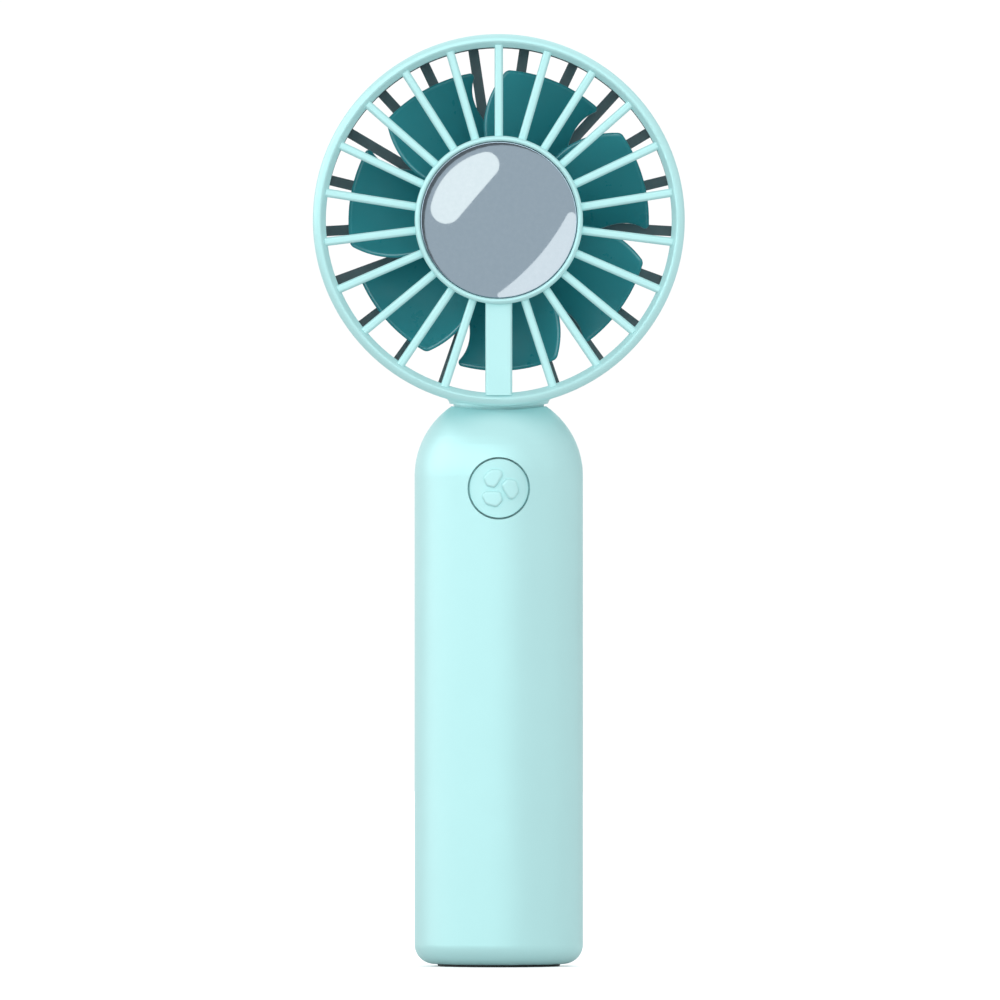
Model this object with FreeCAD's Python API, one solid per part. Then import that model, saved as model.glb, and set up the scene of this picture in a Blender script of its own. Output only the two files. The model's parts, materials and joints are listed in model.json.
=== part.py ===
"""Handheld electric fan: a round fan head on a pill-shaped handle that stands on its own foot.

Millimetres. +Z is up and the fan blows towards -Y. The origin is the centre of the foot's underside.
Every piece of the real assembly is one node, written to parts/NODE.step.
"""

import FreeCAD
import Part
import math
import os

V = FreeCAD.Vector

# ---------------------------------------------------------------- driving dimensions
# handle
HANDLE_R = 18.15
WALL = 1.8
SHELL_BOTTOM_Z = 0.5
BASE_ROUND = 4.2
DOME_Z = 105.7
SADDLE_Z = 119.85
SADDLE_R = 61.0
REVEAL_H = 0.5
REVEAL_DEPTH = 0.9
NECK_R = 10.65
FLARE_H = 1.2
FLARE_SPREAD = 1.0
STEM_R = 8.4
STEM_BOTTOM_Z = 110.6
FLANGE_R = 10.2
FLANGE_T = 1.8
LEAD_HOLE_R = 3.1
SEAM_DEPTH = 0.3
SEAM_HALF = 0.14

# head, a drum whose axis runs along Y
HEAD_Z = 160.7
HEAD_R = 40.0
WINDOW_R = 37.2
SHELL_BORE_R = 38.0
RIM_FRONT_Y = -14.4
RIM_BACK_Y = -11.8
SHELL_BACK_Y = 14.4
REBATE_R = 38.8
REBATE_Y = 11.0
SNAP_ANGLES = (45, 135, 225, 315)
SNAP_HALF_W = 3.0
SNAP_T = 1.1
SKIRT_T = 1.9

# front grille
FRONT_RIBS_PER_SIDE = 10
FRONT_RIB_PITCH = 16.2
RIB_W = 1.8
RIB_D = 2.3
RIB_FRONT_Y = -13.7
STRUT_W = 5.8
HUB_R = 18.1
HUB_BACK_Y = -10.6
LIP_R = 17.0
LIP_FRONT_Y = -15.4
MIRROR_R = 16.85
MIRROR_T = 1.0
TAPE_T = 0.3
MIRROR_FRONT_Y = -14.6

# rear grille
REAR_RIBS_PER_SIDE = 10
REAR_RIB_PITCH = 16.95
REAR_RIB_W = 2.2
REAR_RIB_FRONT_Y = 11.9
REAR_RIB_BACK_Y = 14.0
REAR_HUB_R = 17.5
REAR_HUB_BORE_R = 12.6
CHANNEL_W = 3.0
CHANNEL_FLOOR_Y = 13.5
HUB_RIM_BACK_Y = 14.4
THIRDS = (0, 120, 240)
MOUNT_SCREW_R = 15.1
MOUNT_SCREW_SEAT_Y = 13.1

# impeller
BLADES = 7
TIP_R = 32.4
IMPELLER_HUB_R = 17.0
IMPELLER_FRONT_Y = -9.8
IMPELLER_SKIRT_BACK_Y = 6.0
IMPELLER_WALL = 1.5
IMPELLER_BOSS_R = 4.0
IMPELLER_BOSS_BACK_Y = -3.7
INSERT_R = 2.2
BLADE_T = 1.1
BLADE_EDGE_ROUND = 0.5
BLADE_EDGE_MIN = 10.0
BLADE_FRONT_Y = -8.5
BLADE_ROOT_DEPTH = 14.4
BLADE_TIP_DEPTH = 10.0
BLADE_BOW = 1.5
BLADE_TIP_ANGLE = 3.1
BLADE_SWEEP = 13.0
BLADE_TIP_SPAN = 40.0
BLADE_ROOT_SPAN = 60.0

# motor
MOTOR_R = 12.2
MOTOR_FRONT_Y = -1.0
MOTOR_BACK_Y = 11.0
CAN_T = 0.5
SHAFT_R = 1.0
BEARING_CLEARANCE = 0.04
BEARING_R = 2.4
BEARING_FRONT_Y = (-2.7, 0.5)
BEARING_BACK_Y = (9.6, 11.2)
NOSE_R = 3.0
CUP_R = 13.8
CUP_FRONT_Y = -2.6
CUP_FLANGE_R = 16.9
CUP_FLANGE_Y = 10.3
MOTOR_SCREW_X = 8.0
CORE_Y = (1.8, 6.2)
CORE_R = 9.2
LEG_HALF_W = 1.3
TERMINAL_DROP = 7.6
LUG_X = 1.9
LUG_BACK_Y = 12.7

# battery
CELL_R = 9.2
CELL_BOTTOM_Z = 13.0
CELL_TOP_Z = 77.7
CELL_NUB_Z = CELL_TOP_Z + 0.7
WRAP_T = 0.15
TAB_T = 0.15

# control board and button
BUTTON_Z = 103.0
BUTTON_R = 6.3
BUTTON_HOLE_R = 6.72
BUTTON_FACE_R = 17.55
SIGN_FACE_R = 18.13
SIGN_EDGE_ROUND = 0.52
SIGN_TURN = -15
BUTTON_FLANGE_R = 7.6
BUTTON_FLANGE_Y = -15.1
BOARD_FRONT_Y = -9.6
BOARD_T = 1.0
BOARD_HALF_W = 9.5
BOARD_Z = (85.0, 108.5)
BOARD_SCREW_X = 7.0
BOARD_SCREW_Z = 87.6
SWITCH_H = 3.4
SWITCH_HALF_W = 3.1
PLUNGER_R = 1.6
PLUNGER_FRONT_Y = -13.8

# charging board and socket
CHARGE_BOARD_Z = 5.5
CHARGE_BOARD_T = 1.2
CHARGE_BOARD_HALF = 11.0
CHARGE_POST_X = 8.5
CHARGE_POST_Y = 8.0
SOCKET_W = 8.94
SOCKET_H = 3.16
SOCKET_BACK_Y = 17.2
SOCKET_LENGTH = 7.3
SOCKET_Z = CHARGE_BOARD_Z + CHARGE_BOARD_T + SOCKET_H / 2
LAMP_X = 7.8
LENS_R = 0.9

# foot
FOOT_R = 13.2
FOOT_T = 1.7

# screws that close the handle
CLOSE_SCREWS = [(x, z) for z in (34.0, 84.0) for x in (-13.4, 13.4)]
BOSS_R = 2.2
SCREW_SEAT_Y = 8.0

# ribs inside the handle: three hold the cell, one is its floor, one its ceiling
CELL_RIB_Z = (22.0, 45.0, 66.0)
CELL_FLOOR_Z = 12.0
CELL_CEILING_Z = 79.4
INNER_RIB_T = 1.4

WIRE_R = 0.6

NODES = {}


# ---------------------------------------------------------------- helpers
def keep(name, *shapes):
    """Stores one node: a single solid, or separate solids that share the node."""
    NODES[name] = shapes[0] if len(shapes) == 1 else Part.makeCompound(list(shapes))


def along_y(radius, y0, y1, x=0.0, z=HEAD_Z):
    """A cylinder along Y from y0 to y1."""
    return Part.makeCylinder(radius, y1 - y0, V(x, y0, z), V(0, 1, 0))


def tube_y(outer, inner, y0, y1, x=0.0, z=HEAD_Z):
    """A round tube along Y."""
    return along_y(outer, y0, y1, x, z).cut(along_y(inner, y0 - 1, y1 + 1, x, z))


def along_z(radius, z0, z1, x=0.0, y=0.0):
    """A cylinder along Z from z0 to z1."""
    return Part.makeCylinder(radius, z1 - z0, V(x, y, z0), V(0, 0, 1))


def tube_z(outer, inner, z0, z1, x=0.0, y=0.0):
    """A round tube along Z."""
    return along_z(outer, z0, z1, x, y).cut(along_z(inner, z0 - 1, z1 + 1, x, y))


def block(x, y, z):
    """A box from three (low, high) ranges."""
    return Part.makeBox(x[1] - x[0], y[1] - y[0], z[1] - z[0], V(x[0], y[0], z[0]))


def outline(points, place):
    """A closed wire through (u, v) or (u, v, radius) corners; a corner with a radius is an arc."""
    corners = [V(p[0], p[1], 0) for p in points]
    radii = [p[2] if len(p) > 2 else 0.0 for p in points]
    stretches = []
    for i, corner in enumerate(corners):
        if radii[i] == 0:
            stretches.append((corner, None, corner))
            continue
        back = (corners[i - 1] - corner).normalize()
        ahead = (corners[(i + 1) % len(corners)] - corner).normalize()
        half = back.getAngle(ahead) / 2
        reach = radii[i] / math.tan(half)
        inward = (back + ahead).normalize()
        centre = corner + inward * (radii[i] / math.sin(half))
        middle = centre - inward * radii[i]
        stretches.append((corner + back * reach, middle, corner + ahead * reach))
    edges = []
    for i, (start, middle, end) in enumerate(stretches):
        if middle is not None:
            edges.append(Part.Arc(*(place(p.x, p.y) for p in (start, middle, end))).toShape())
        following = stretches[(i + 1) % len(stretches)][0]
        if (following - end).Length > 1e-6:
            line = Part.LineSegment(place(end.x, end.y), place(following.x, following.y))
            edges.append(line.toShape())
    return Part.Wire(edges)


def turned_head(points):
    """Turns an (r, y) outline round the head's axis."""
    face = Part.Face(outline(points, lambda r, y: V(r, y, HEAD_Z)))
    return face.revolve(V(0, 0, HEAD_Z), V(0, 1, 0), 360)


def turned_handle(points):
    """Turns an (r, z) outline round the handle's axis."""
    face = Part.Face(outline(points, lambda r, z: V(r, 0, z)))
    return face.revolve(V(0, 0, 0), V(0, 0, 1), 360)


def arc_block(outer, inner, y0, y1, middle, span):
    """Part of a tube round the head's axis, centred on the clockwise angle middle."""
    corners = [V(0, y, HEAD_Z + r) for r, y in ((inner, y0), (outer, y0), (outer, y1), (inner, y1))]
    face = Part.Face(Part.makePolygon(corners + corners[:1]))
    return clocked(face.revolve(V(0, 0, HEAD_Z), V(0, 1, 0), span), middle - span / 2)


def clocked(shape, degrees):
    """Turns a shape about the head's axis, clockwise as seen from the front."""
    turned = shape.copy()
    turned.rotate(V(0, 0, HEAD_Z), V(0, 1, 0), degrees)
    return turned


def united(shapes):
    """Fuses shapes into one and removes the seams between coplanar faces."""
    return shapes[0].fuse(shapes[1:]).removeSplitter()


def bent_path(points):
    """A wire through points with a tangent arc at each corner, as large as its two runs allow."""
    runs = [(b - a).Length for a, b in zip(points, points[1:])]
    edges = []
    start = points[0]
    for i in range(1, len(points) - 1):
        back = (points[i - 1] - points[i]).normalize()
        ahead = (points[i + 1] - points[i]).normalize()
        half = back.getAngle(ahead) / 2
        reach = 0.45 * min(runs[i - 1], runs[i])
        radius = reach * math.tan(half)
        inward = (back + ahead).normalize()
        middle = points[i] + inward * (radius / math.sin(half) - radius)
        first, last = points[i] + back * reach, points[i] + ahead * reach
        edges.append(Part.LineSegment(start, first).toShape())
        edges.append(Part.Arc(first, middle, last).toShape())
        start = last
    edges.append(Part.LineSegment(start, points[-1]).toShape())
    return Part.Wire(edges)


def wire(points, radius=WIRE_R):
    """An insulated lead that follows points."""
    vectors = [V(*p) for p in points]
    path = bent_path(vectors)
    section = Part.Wire(Part.Circle(vectors[0], vectors[1] - vectors[0], radius).toShape())
    return path.makePipeShell([section], True, True)


def pan_screw(head_r, head_h, shank_r, length):
    """A pan-head screw along -Y: its seat is at y 0, its head behind and its shank in front."""
    head = Part.makeCylinder(head_r, head_h, V(0, 0, 0), V(0, 1, 0))
    head = head.makeFillet(head_h * 0.45, [e for e in head.Edges if e.CenterOfMass.y > head_h * 0.9])
    slot_l, slot_w = head_r * 1.1, head_r * 0.28
    cross = Part.makeBox(slot_l, head_h, slot_w, V(-slot_l / 2, head_h * 0.45, -slot_w / 2))
    upright = cross.copy()
    upright.rotate(V(0, 0, 0), V(0, 1, 0), 90)
    shank = Part.makeCylinder(shank_r, length - shank_r, V(0, 0, 0), V(0, -1, 0))
    tip = Part.makeCone(shank_r, shank_r * 0.3, shank_r, V(0, shank_r - length, 0), V(0, -1, 0))
    return head.fuse([shank, tip]).cut(cross).cut(upright)


def placed(shape, x, y, z, axis=None, degrees=0.0):
    """A copy of shape, turned about its own origin and then moved."""
    copy = shape.copy()
    if axis is not None:
        copy.rotate(V(0, 0, 0), axis, degrees)
    copy.translate(V(x, y, z))
    return copy


# ---------------------------------------------------------------- head: front grille and mirror
def rib_bar(width, depth, front_y, r0, r1, round_r):
    """A radial bar that points up from the head's axis, with its front edges rounded."""
    half = width / 2
    section = outline(
        [
            (-half, front_y, round_r), (half, front_y, round_r),
            (half, front_y + depth), (-half, front_y + depth),
        ],
        lambda x, y: V(x, y, HEAD_Z + r0),
    )
    return Part.Face(section).extrude(V(0, 0, r1 - r0))


def front_grille():
    """Rim, narrow ribs, one wide strut at the bottom and the hub that frames the mirror."""
    rim = turned_head([
        (HEAD_R, RIM_BACK_Y, 0.25),
        (HEAD_R, RIM_FRONT_Y, 1.5),
        (WINDOW_R + 1.1, RIM_FRONT_Y, 0.5),
        (WINDOW_R, RIM_FRONT_Y + 1.5, 0.3),
        (WINDOW_R, RIM_BACK_Y + SKIRT_T),
        (SHELL_BORE_R - 0.1, RIM_BACK_Y + SKIRT_T),
        (SHELL_BORE_R - 0.1, RIM_BACK_Y),
    ])
    seat_y = MIRROR_FRONT_Y + MIRROR_T + TAPE_T
    hub = turned_head([
        (0, seat_y), (MIRROR_R + 0.1, seat_y), (MIRROR_R + 0.1, MIRROR_FRONT_Y + 0.05),
        (LIP_R, LIP_FRONT_Y, 0.4), (HUB_R, LIP_FRONT_Y, 0.6),
        (HUB_R, HUB_BACK_Y), (HUB_R - 1.3, HUB_BACK_Y), (HUB_R - 1.3, seat_y + 1.5), (0, seat_y + 1.5),
    ])
    bar = rib_bar(RIB_W, RIB_D, RIB_FRONT_Y, HUB_R - 0.6, WINDOW_R + 0.5, 0.55)
    count = FRONT_RIBS_PER_SIDE
    ribs = [clocked(bar, i * FRONT_RIB_PITCH) for i in range(-count, count + 1)]
    strut = rib_bar(STRUT_W, RIB_D + 0.4, RIB_FRONT_Y - 0.4, HUB_R - 0.6, WINDOW_R + 0.5, 0.6)
    lug_y = RIM_BACK_Y + SKIRT_T - 0.2
    lug_z = (HEAD_Z + WINDOW_R + 0.2, HEAD_Z + SHELL_BORE_R + 0.3)
    lug = block((-SNAP_HALF_W, SNAP_HALF_W), (lug_y - SNAP_T, lug_y), lug_z)
    lugs = [clocked(lug, a) for a in SNAP_ANGLES]
    keep("front_grille", united([rim, hub, clocked(strut, 180)] + ribs + lugs))


def mirror():
    """The round mirror and the tape that holds it in the hub."""
    glass = along_y(MIRROR_R, MIRROR_FRONT_Y, MIRROR_FRONT_Y + MIRROR_T)
    rim_edges = [e for e in glass.Edges if e.CenterOfMass.y < MIRROR_FRONT_Y + 0.1]
    keep("mirror", glass.makeFillet(0.2, rim_edges))
    tape_y = MIRROR_FRONT_Y + MIRROR_T
    keep("mirror_tape", along_y(MIRROR_R - 0.9, tape_y, tape_y + TAPE_T))


# ---------------------------------------------------------------- head: shell and rear grille
def head_shell():
    """The drum wall, the short neck under it and the stem that the handle shells clamp."""
    band = turned_head([
        (HEAD_R, RIM_BACK_Y, 0.25), (HEAD_R, SHELL_BACK_Y, 1.0), (REBATE_R, SHELL_BACK_Y),
        (REBATE_R, REBATE_Y), (SHELL_BORE_R, REBATE_Y), (SHELL_BORE_R, RIM_BACK_Y),
    ])
    drum_room = along_y(HEAD_R - 0.4, RIM_BACK_Y, SHELL_BACK_Y)
    stem = along_z(STEM_R, STEM_BOTTOM_Z, SADDLE_Z + 1.0)
    flange_top = STEM_BOTTOM_Z + FLANGE_T
    flange = along_z(FLANGE_R, STEM_BOTTOM_Z, flange_top)
    flat = block((-FLANGE_R, FLANGE_R), (STEM_R - 0.4, FLANGE_R), (STEM_BOTTOM_Z, flange_top))
    body = united([band, neck().cut(drum_room), stem, flange.cut(flat)])
    wide_bore = along_z(STEM_R - 3.8, STEM_BOTTOM_Z, SADDLE_Z - 2)
    lead_hole = along_z(LEAD_HOLE_R, SADDLE_Z - 3, HEAD_Z - SHELL_BORE_R + 3)
    body = body.cut(wide_bore).cut(lead_hole)
    lug_y = RIM_BACK_Y + SKIRT_T - 0.2
    pocket = block(
        (-SNAP_HALF_W - 0.2, SNAP_HALF_W + 0.2), (lug_y - SNAP_T - 0.2, lug_y + 0.2),
        (HEAD_Z + SHELL_BORE_R - 5, HEAD_Z + SHELL_BORE_R + 0.5),
    )
    for angle in SNAP_ANGLES:
        body = body.cut(clocked(pocket, angle))
    keep("head_shell", body)


def saddle(radius):
    """A wide cylinder along Y, over the saddle that the dome's top is cut to."""
    return along_y(radius, -30, 30, 0, SADDLE_Z + SADDLE_R)


def neck():
    """The short neck: it sits on the dome's saddle, inside a narrow dark gap all round."""
    heights = (SADDLE_Z - 0.5, HEAD_Z - SHELL_BORE_R)
    seat = along_z(NECK_R - REVEAL_DEPTH, *heights).common(saddle(SADDLE_R))
    outside = united([along_z(NECK_R, *heights), neck_flare()]).common(saddle(SADDLE_R - REVEAL_H))
    return united([seat, outside])


def neck_flare():
    """A small concave flare where the neck meets the drum."""
    side_z = HEAD_Z - math.sqrt(HEAD_R ** 2 - NECK_R ** 2)
    low_z, high_z = side_z - FLARE_H, side_z + 0.35
    inner_r = NECK_R - 0.5
    start, end = V(NECK_R, 0, low_z), V(NECK_R + FLARE_SPREAD, 0, high_z)
    bend = V(NECK_R + 0.2 * FLARE_SPREAD, 0, low_z + 0.6 * (high_z - low_z))
    low_corner, high_corner = V(inner_r, 0, low_z), V(inner_r, 0, high_z)
    face = Part.Face(Part.Wire([
        Part.LineSegment(low_corner, start).toShape(),
        Part.Arc(start, bend, end).toShape(),
        Part.LineSegment(end, high_corner).toShape(),
        Part.LineSegment(high_corner, low_corner).toShape(),
    ]))
    return face.revolve(V(0, 0, 0), V(0, 0, 1), 360)


def rear_rib(width, back_y):
    """A radial bar of the rear grille that points up, with its back edges rounded."""
    bar = rib_bar(width, back_y - REAR_RIB_FRONT_Y, -back_y, REAR_HUB_R - 0.6, WINDOW_R + 0.6, 0.6)
    return placed(bar, 0, 0, 0, V(0, 0, 1), 180)


def rear_grille():
    """The guard at the back: rim, ribs, a channelled strut for the motor leads and the motor's ring."""
    rim = turned_head([
        (REBATE_R - 0.05, REBATE_Y), (REBATE_R - 0.05, REAR_RIB_BACK_Y, 0.3),
        (WINDOW_R + 0.2, REAR_RIB_BACK_Y, 0.5), (WINDOW_R + 0.2, REBATE_Y),
    ])
    ring = turned_head([
        (REAR_HUB_R, REAR_RIB_FRONT_Y), (REAR_HUB_R, HUB_RIM_BACK_Y, 0.5),
        (REAR_HUB_BORE_R, HUB_RIM_BACK_Y), (REAR_HUB_BORE_R, REAR_RIB_FRONT_Y),
    ])
    bar = rear_rib(REAR_RIB_W, REAR_RIB_BACK_Y)
    angles = [(i + 0.5) * REAR_RIB_PITCH for i in range(REAR_RIBS_PER_SIDE)]
    ribs = [clocked(bar, side * angle) for side in (-1, 1) for angle in angles]
    strut = clocked(rear_rib(STRUT_W, HUB_RIM_BACK_Y), 180)
    guard = united([rim, ring, strut] + ribs)
    half = CHANNEL_W / 2
    channel = block(
        (-half, half), (REBATE_Y, CHANNEL_FLOOR_Y), (HEAD_Z - HEAD_R + 1, HEAD_Z - REAR_HUB_BORE_R + 0.5)
    )
    guard = guard.cut(channel)
    screw_z = HEAD_Z + MOUNT_SCREW_R
    hole = along_y(0.95, REAR_RIB_FRONT_Y - 1, HUB_RIM_BACK_Y + 1, 0, screw_z)
    seat = along_y(1.7, MOUNT_SCREW_SEAT_Y, HUB_RIM_BACK_Y + 1, 0, screw_z)
    for angle in THIRDS:
        guard = guard.cut(clocked(hole.fuse(seat), angle))
    keep("rear_grille", guard)


def rear_hub_cap():
    """The shallow lid that snaps into the motor's ring, with a gap for the leads."""
    lip_r, lip_y = REAR_HUB_BORE_R - 0.1, 12.9
    inside_y, lip_t = 13.6, 1.2
    cap = turned_head([
        (0, inside_y), (lip_r - lip_t, inside_y), (lip_r - lip_t, lip_y),
        (lip_r, lip_y), (lip_r, HUB_RIM_BACK_Y),
        (REAR_HUB_R - 0.5, HUB_RIM_BACK_Y), (REAR_HUB_R - 0.5, HUB_RIM_BACK_Y + 0.8, 0.5),
        (0, HUB_RIM_BACK_Y + 1.0),
    ])
    half = CHANNEL_W / 2 + 0.2
    lead_gap = block((-half, half), (lip_y - 1, inside_y), (HEAD_Z - lip_r - 1.5, HEAD_Z - lip_r + 2.5))
    keep("rear_hub_cap", cap.cut(lead_gap))


# ---------------------------------------------------------------- motor and its mount
def motor_mount():
    """The plastic cup that carries the motor, with the flange that the rear grille is screwed to."""
    bore_r = MOTOR_R + 0.05
    cup = turned_head([
        (NOSE_R + 0.1, CUP_FRONT_Y), (CUP_R, CUP_FRONT_Y, 0.6), (CUP_R, CUP_FLANGE_Y),
        (CUP_FLANGE_R, CUP_FLANGE_Y), (CUP_FLANGE_R, REAR_RIB_FRONT_Y), (bore_r, REAR_RIB_FRONT_Y),
        (bore_r, MOTOR_FRONT_Y), (NOSE_R + 0.1, MOTOR_FRONT_Y),
    ])
    for x in (-MOTOR_SCREW_X, MOTOR_SCREW_X):
        cup = cup.cut(along_y(1.1, CUP_FRONT_Y - 1, MOTOR_FRONT_Y + 1, x))
    pilot = along_y(0.8, CUP_FLANGE_Y + 0.5, REAR_RIB_FRONT_Y + 1, 0, HEAD_Z + MOUNT_SCREW_R)
    for angle in THIRDS:
        cup = cup.cut(clocked(pilot, angle))
    keep("motor_mount", cup)


def head_screws():
    """Three screws through the rear grille into the cup, and two through the cup into the motor."""
    mount_screw = placed(pan_screw(1.5, 0.9, 0.8, 2.2), 0, MOUNT_SCREW_SEAT_Y, HEAD_Z + MOUNT_SCREW_R)
    keep("mount_screws", *[clocked(mount_screw, angle) for angle in THIRDS])
    motor_screw = pan_screw(1.8, 0.9, 1.0, 2.2)
    keep("motor_screws", *[
        placed(motor_screw, x, CUP_FRONT_Y, HEAD_Z, V(0, 0, 1), 180) for x in (-MOTOR_SCREW_X, MOTOR_SCREW_X)
    ])


def motor_can():
    """The drawn steel can with its nose, and the magnets inside it."""
    inner_r = MOTOR_R - CAN_T
    floor_y = MOTOR_FRONT_Y + 0.8
    nose_y = MOTOR_FRONT_Y - 1.9
    can = turned_head([
        (BEARING_R, nose_y), (NOSE_R, nose_y, 0.25), (NOSE_R, MOTOR_FRONT_Y), (MOTOR_R, MOTOR_FRONT_Y, 0.6),
        (MOTOR_R, MOTOR_BACK_Y), (inner_r, MOTOR_BACK_Y), (inner_r, floor_y), (BEARING_R, floor_y),
    ])
    for x in (-MOTOR_SCREW_X, MOTOR_SCREW_X):
        can = can.cut(along_y(1.0, MOTOR_FRONT_Y - 1, floor_y + 0.5, x))
    keep("motor_can", can)
    pole_r, pole_y, pole_span = 9.7, (1.2, 8.0), 140
    keep("motor_magnets", *[arc_block(inner_r, pole_r, *pole_y, side, pole_span) for side in (90, 270)])


def motor_bearings():
    """The two sleeve bearings that the shaft runs in."""
    bore_r = SHAFT_R + BEARING_CLEARANCE
    keep("motor_bearing_front", tube_y(BEARING_R, bore_r, *BEARING_FRONT_Y))
    keep("motor_bearing_rear", tube_y(BEARING_R, bore_r, *BEARING_BACK_Y))


def motor_end_cap():
    """The end cap with its bearing boss, brushes and terminals."""
    cap_y = MOTOR_BACK_Y - 1.6
    cap = along_y(MOTOR_R - CAN_T, cap_y, MOTOR_BACK_Y + 0.4).fuse(along_y(4.0, cap_y, REAR_RIB_FRONT_Y))
    cap = cap.cut(along_y(BEARING_R, *BEARING_BACK_Y)).cut(along_y(SHAFT_R + 0.3, cap_y - 1, cap_y + 0.3))
    cap = cap.cut(tube_y(6.6, 3.6, cap_y - 1, cap_y + 0.5))
    terminal_z = HEAD_Z - TERMINAL_DROP
    tab_z = (terminal_z - 0.2, terminal_z + 0.2)
    arm_x = 2.45
    brushes, terminals = [], []
    for side in (-1, 1):
        tab_x = (side * LUG_X - 0.6, side * LUG_X + 0.6)
        cap = cap.cut(block(tab_x, (cap_y - 1, MOTOR_BACK_Y + 1), tab_z))
        terminals.append(block(tab_x, (cap_y + 0.5, LUG_BACK_Y), tab_z))
        leaf_x = (side * arm_x - 0.1, side * arm_x + 0.1)
        leaf = block(leaf_x, (7.4, 8.6), (HEAD_Z - 6.0, HEAD_Z + 1.2))
        foot = block(leaf_x, (7.4, cap_y + 0.5), (HEAD_Z - 6.0, HEAD_Z - 5.0))
        brushes.append(united([leaf, foot]))
    keep("motor_end_cap", cap)
    keep("motor_brushes", *brushes)
    keep("motor_terminals", *terminals)


def motor_rotor():
    """Shaft, three-pole armature with its windings, commutator and thrust washer."""
    front_y, back_y = -9.2, 11.1
    shaft = along_y(SHAFT_R, front_y, back_y)
    ends = [e for e in shaft.Edges if e.CenterOfMass.y < front_y + 0.1 or e.CenterOfMass.y > back_y - 0.1]
    keep("motor_shaft", shaft.makeChamfer(0.25, ends))

    half, shoe_t, shoe_span = LEG_HALF_W, 1.6, 92
    hub = tube_y(2.6, SHAFT_R, *CORE_Y)
    leg = block((-half, half), CORE_Y, (HEAD_Z + 2.0, HEAD_Z + 8.0))
    shoe = arc_block(CORE_R, CORE_R - shoe_t, *CORE_Y, 0, shoe_span)
    keep("armature_core", united([hub] + [clocked(leg.fuse(shoe), angle) for angle in THIRDS]))

    coil_z = (HEAD_Z + 3.5, HEAD_Z + 6.9)
    coil_t = 1.1
    coil = block((-2.9, 2.9), (CORE_Y[0] - coil_t, CORE_Y[1] + coil_t), coil_z)
    corners = [e for e in coil.Edges if abs(e.Length - (coil_z[1] - coil_z[0])) < 0.01]
    coil = coil.makeFillet(1.2, corners).cut(leg)
    keep("armature_windings", *[clocked(coil, angle) for angle in THIRDS])

    sleeve = tube_y(2.3, SHAFT_R, 7.3, 9.0)
    gap = block((-0.12, 0.12), (7.7, 9.2), (HEAD_Z + 1.7, HEAD_Z + 3))
    for angle in THIRDS:
        sleeve = sleeve.cut(clocked(gap, angle))
    keep("commutator", sleeve)
    keep("thrust_washer", tube_y(2.0, SHAFT_R, -3.5, -3.0))


# ---------------------------------------------------------------- impeller
def out_share(r):
    """How far radius r is along a blade: 0 at the root and 1 at the tip."""
    return (r - HUB_R) / (TIP_R - HUB_R)


def sweep_angle(r):
    """Clockwise angle of a blade's front edge at radius r; the edge curves forward towards the tip."""
    t = max(out_share(r), 0.0)
    return BLADE_TIP_ANGLE - BLADE_SWEEP * (1 - t ** 1.6)


def blade_span(r):
    """Angle that a blade covers at radius r: widest at the root."""
    t = min(max(out_share(r), 0.0), 1.0)
    return BLADE_TIP_SPAN + (BLADE_ROOT_SPAN - BLADE_TIP_SPAN) * (1 - t) ** 1.8


def on_head(r, clock, y):
    """The point at radius r and clockwise angle clock round the head's axis."""
    a = math.radians(clock)
    return V(r * math.sin(a), y, HEAD_Z + r * math.cos(a))


def blade_point(r, s):
    """The middle of the blade's thickness: s runs 0 to 1 from the front edge to the rear edge."""
    depth = BLADE_ROOT_DEPTH + (BLADE_TIP_DEPTH - BLADE_ROOT_DEPTH) * out_share(r)
    bow = BLADE_BOW * math.sin(math.pi * min(max(s, 0.0), 1.0))
    return on_head(r, sweep_angle(r) + s * blade_span(r), BLADE_FRONT_Y + depth * s + bow)


def blade_normal(r, s):
    """The blade's unit normal, which points to the rear."""
    step = 0.01
    radial = blade_point(r + step, s) - blade_point(r - step, s)
    around = blade_point(r, s + step) - blade_point(r, s - step)
    normal = radial.cross(around).normalize()
    return normal if normal.y > 0 else normal * -1


def spread(low, high, count):
    """Evenly spaced values from low to high."""
    return [low + i * (high - low) / (count - 1) for i in range(count)]


def blade_surface(offset):
    """The blade's middle surface moved along its normals, a little larger all round than its outline."""
    rows = []
    for r in spread(IMPELLER_HUB_R - 1.4, TIP_R + 0.8, 10):
        rows.append([blade_point(r, s) + blade_normal(r, s) * offset for s in spread(-0.08, 1.08, 9)])
    surface = Part.BSplineSurface()
    surface.interpolate(rows)
    return surface


def blade_slab():
    """The twisted blade as a closed solid between its two faces."""
    front, back = blade_surface(-BLADE_T / 2), blade_surface(BLADE_T / 2)
    u0, u1, v0, v1 = front.bounds()
    borders = [(f.uIso(u0), f.uIso(u1), f.vIso(v0), f.vIso(v1)) for f in (front, back)]
    sides = [Part.makeRuledSurface(a.toShape(), b.toShape()) for a, b in zip(*borders)]
    shell = Part.Shell([front.toShape(), back.toShape()] + sides)
    shell.sewShape()
    return Part.Solid(shell)


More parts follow.
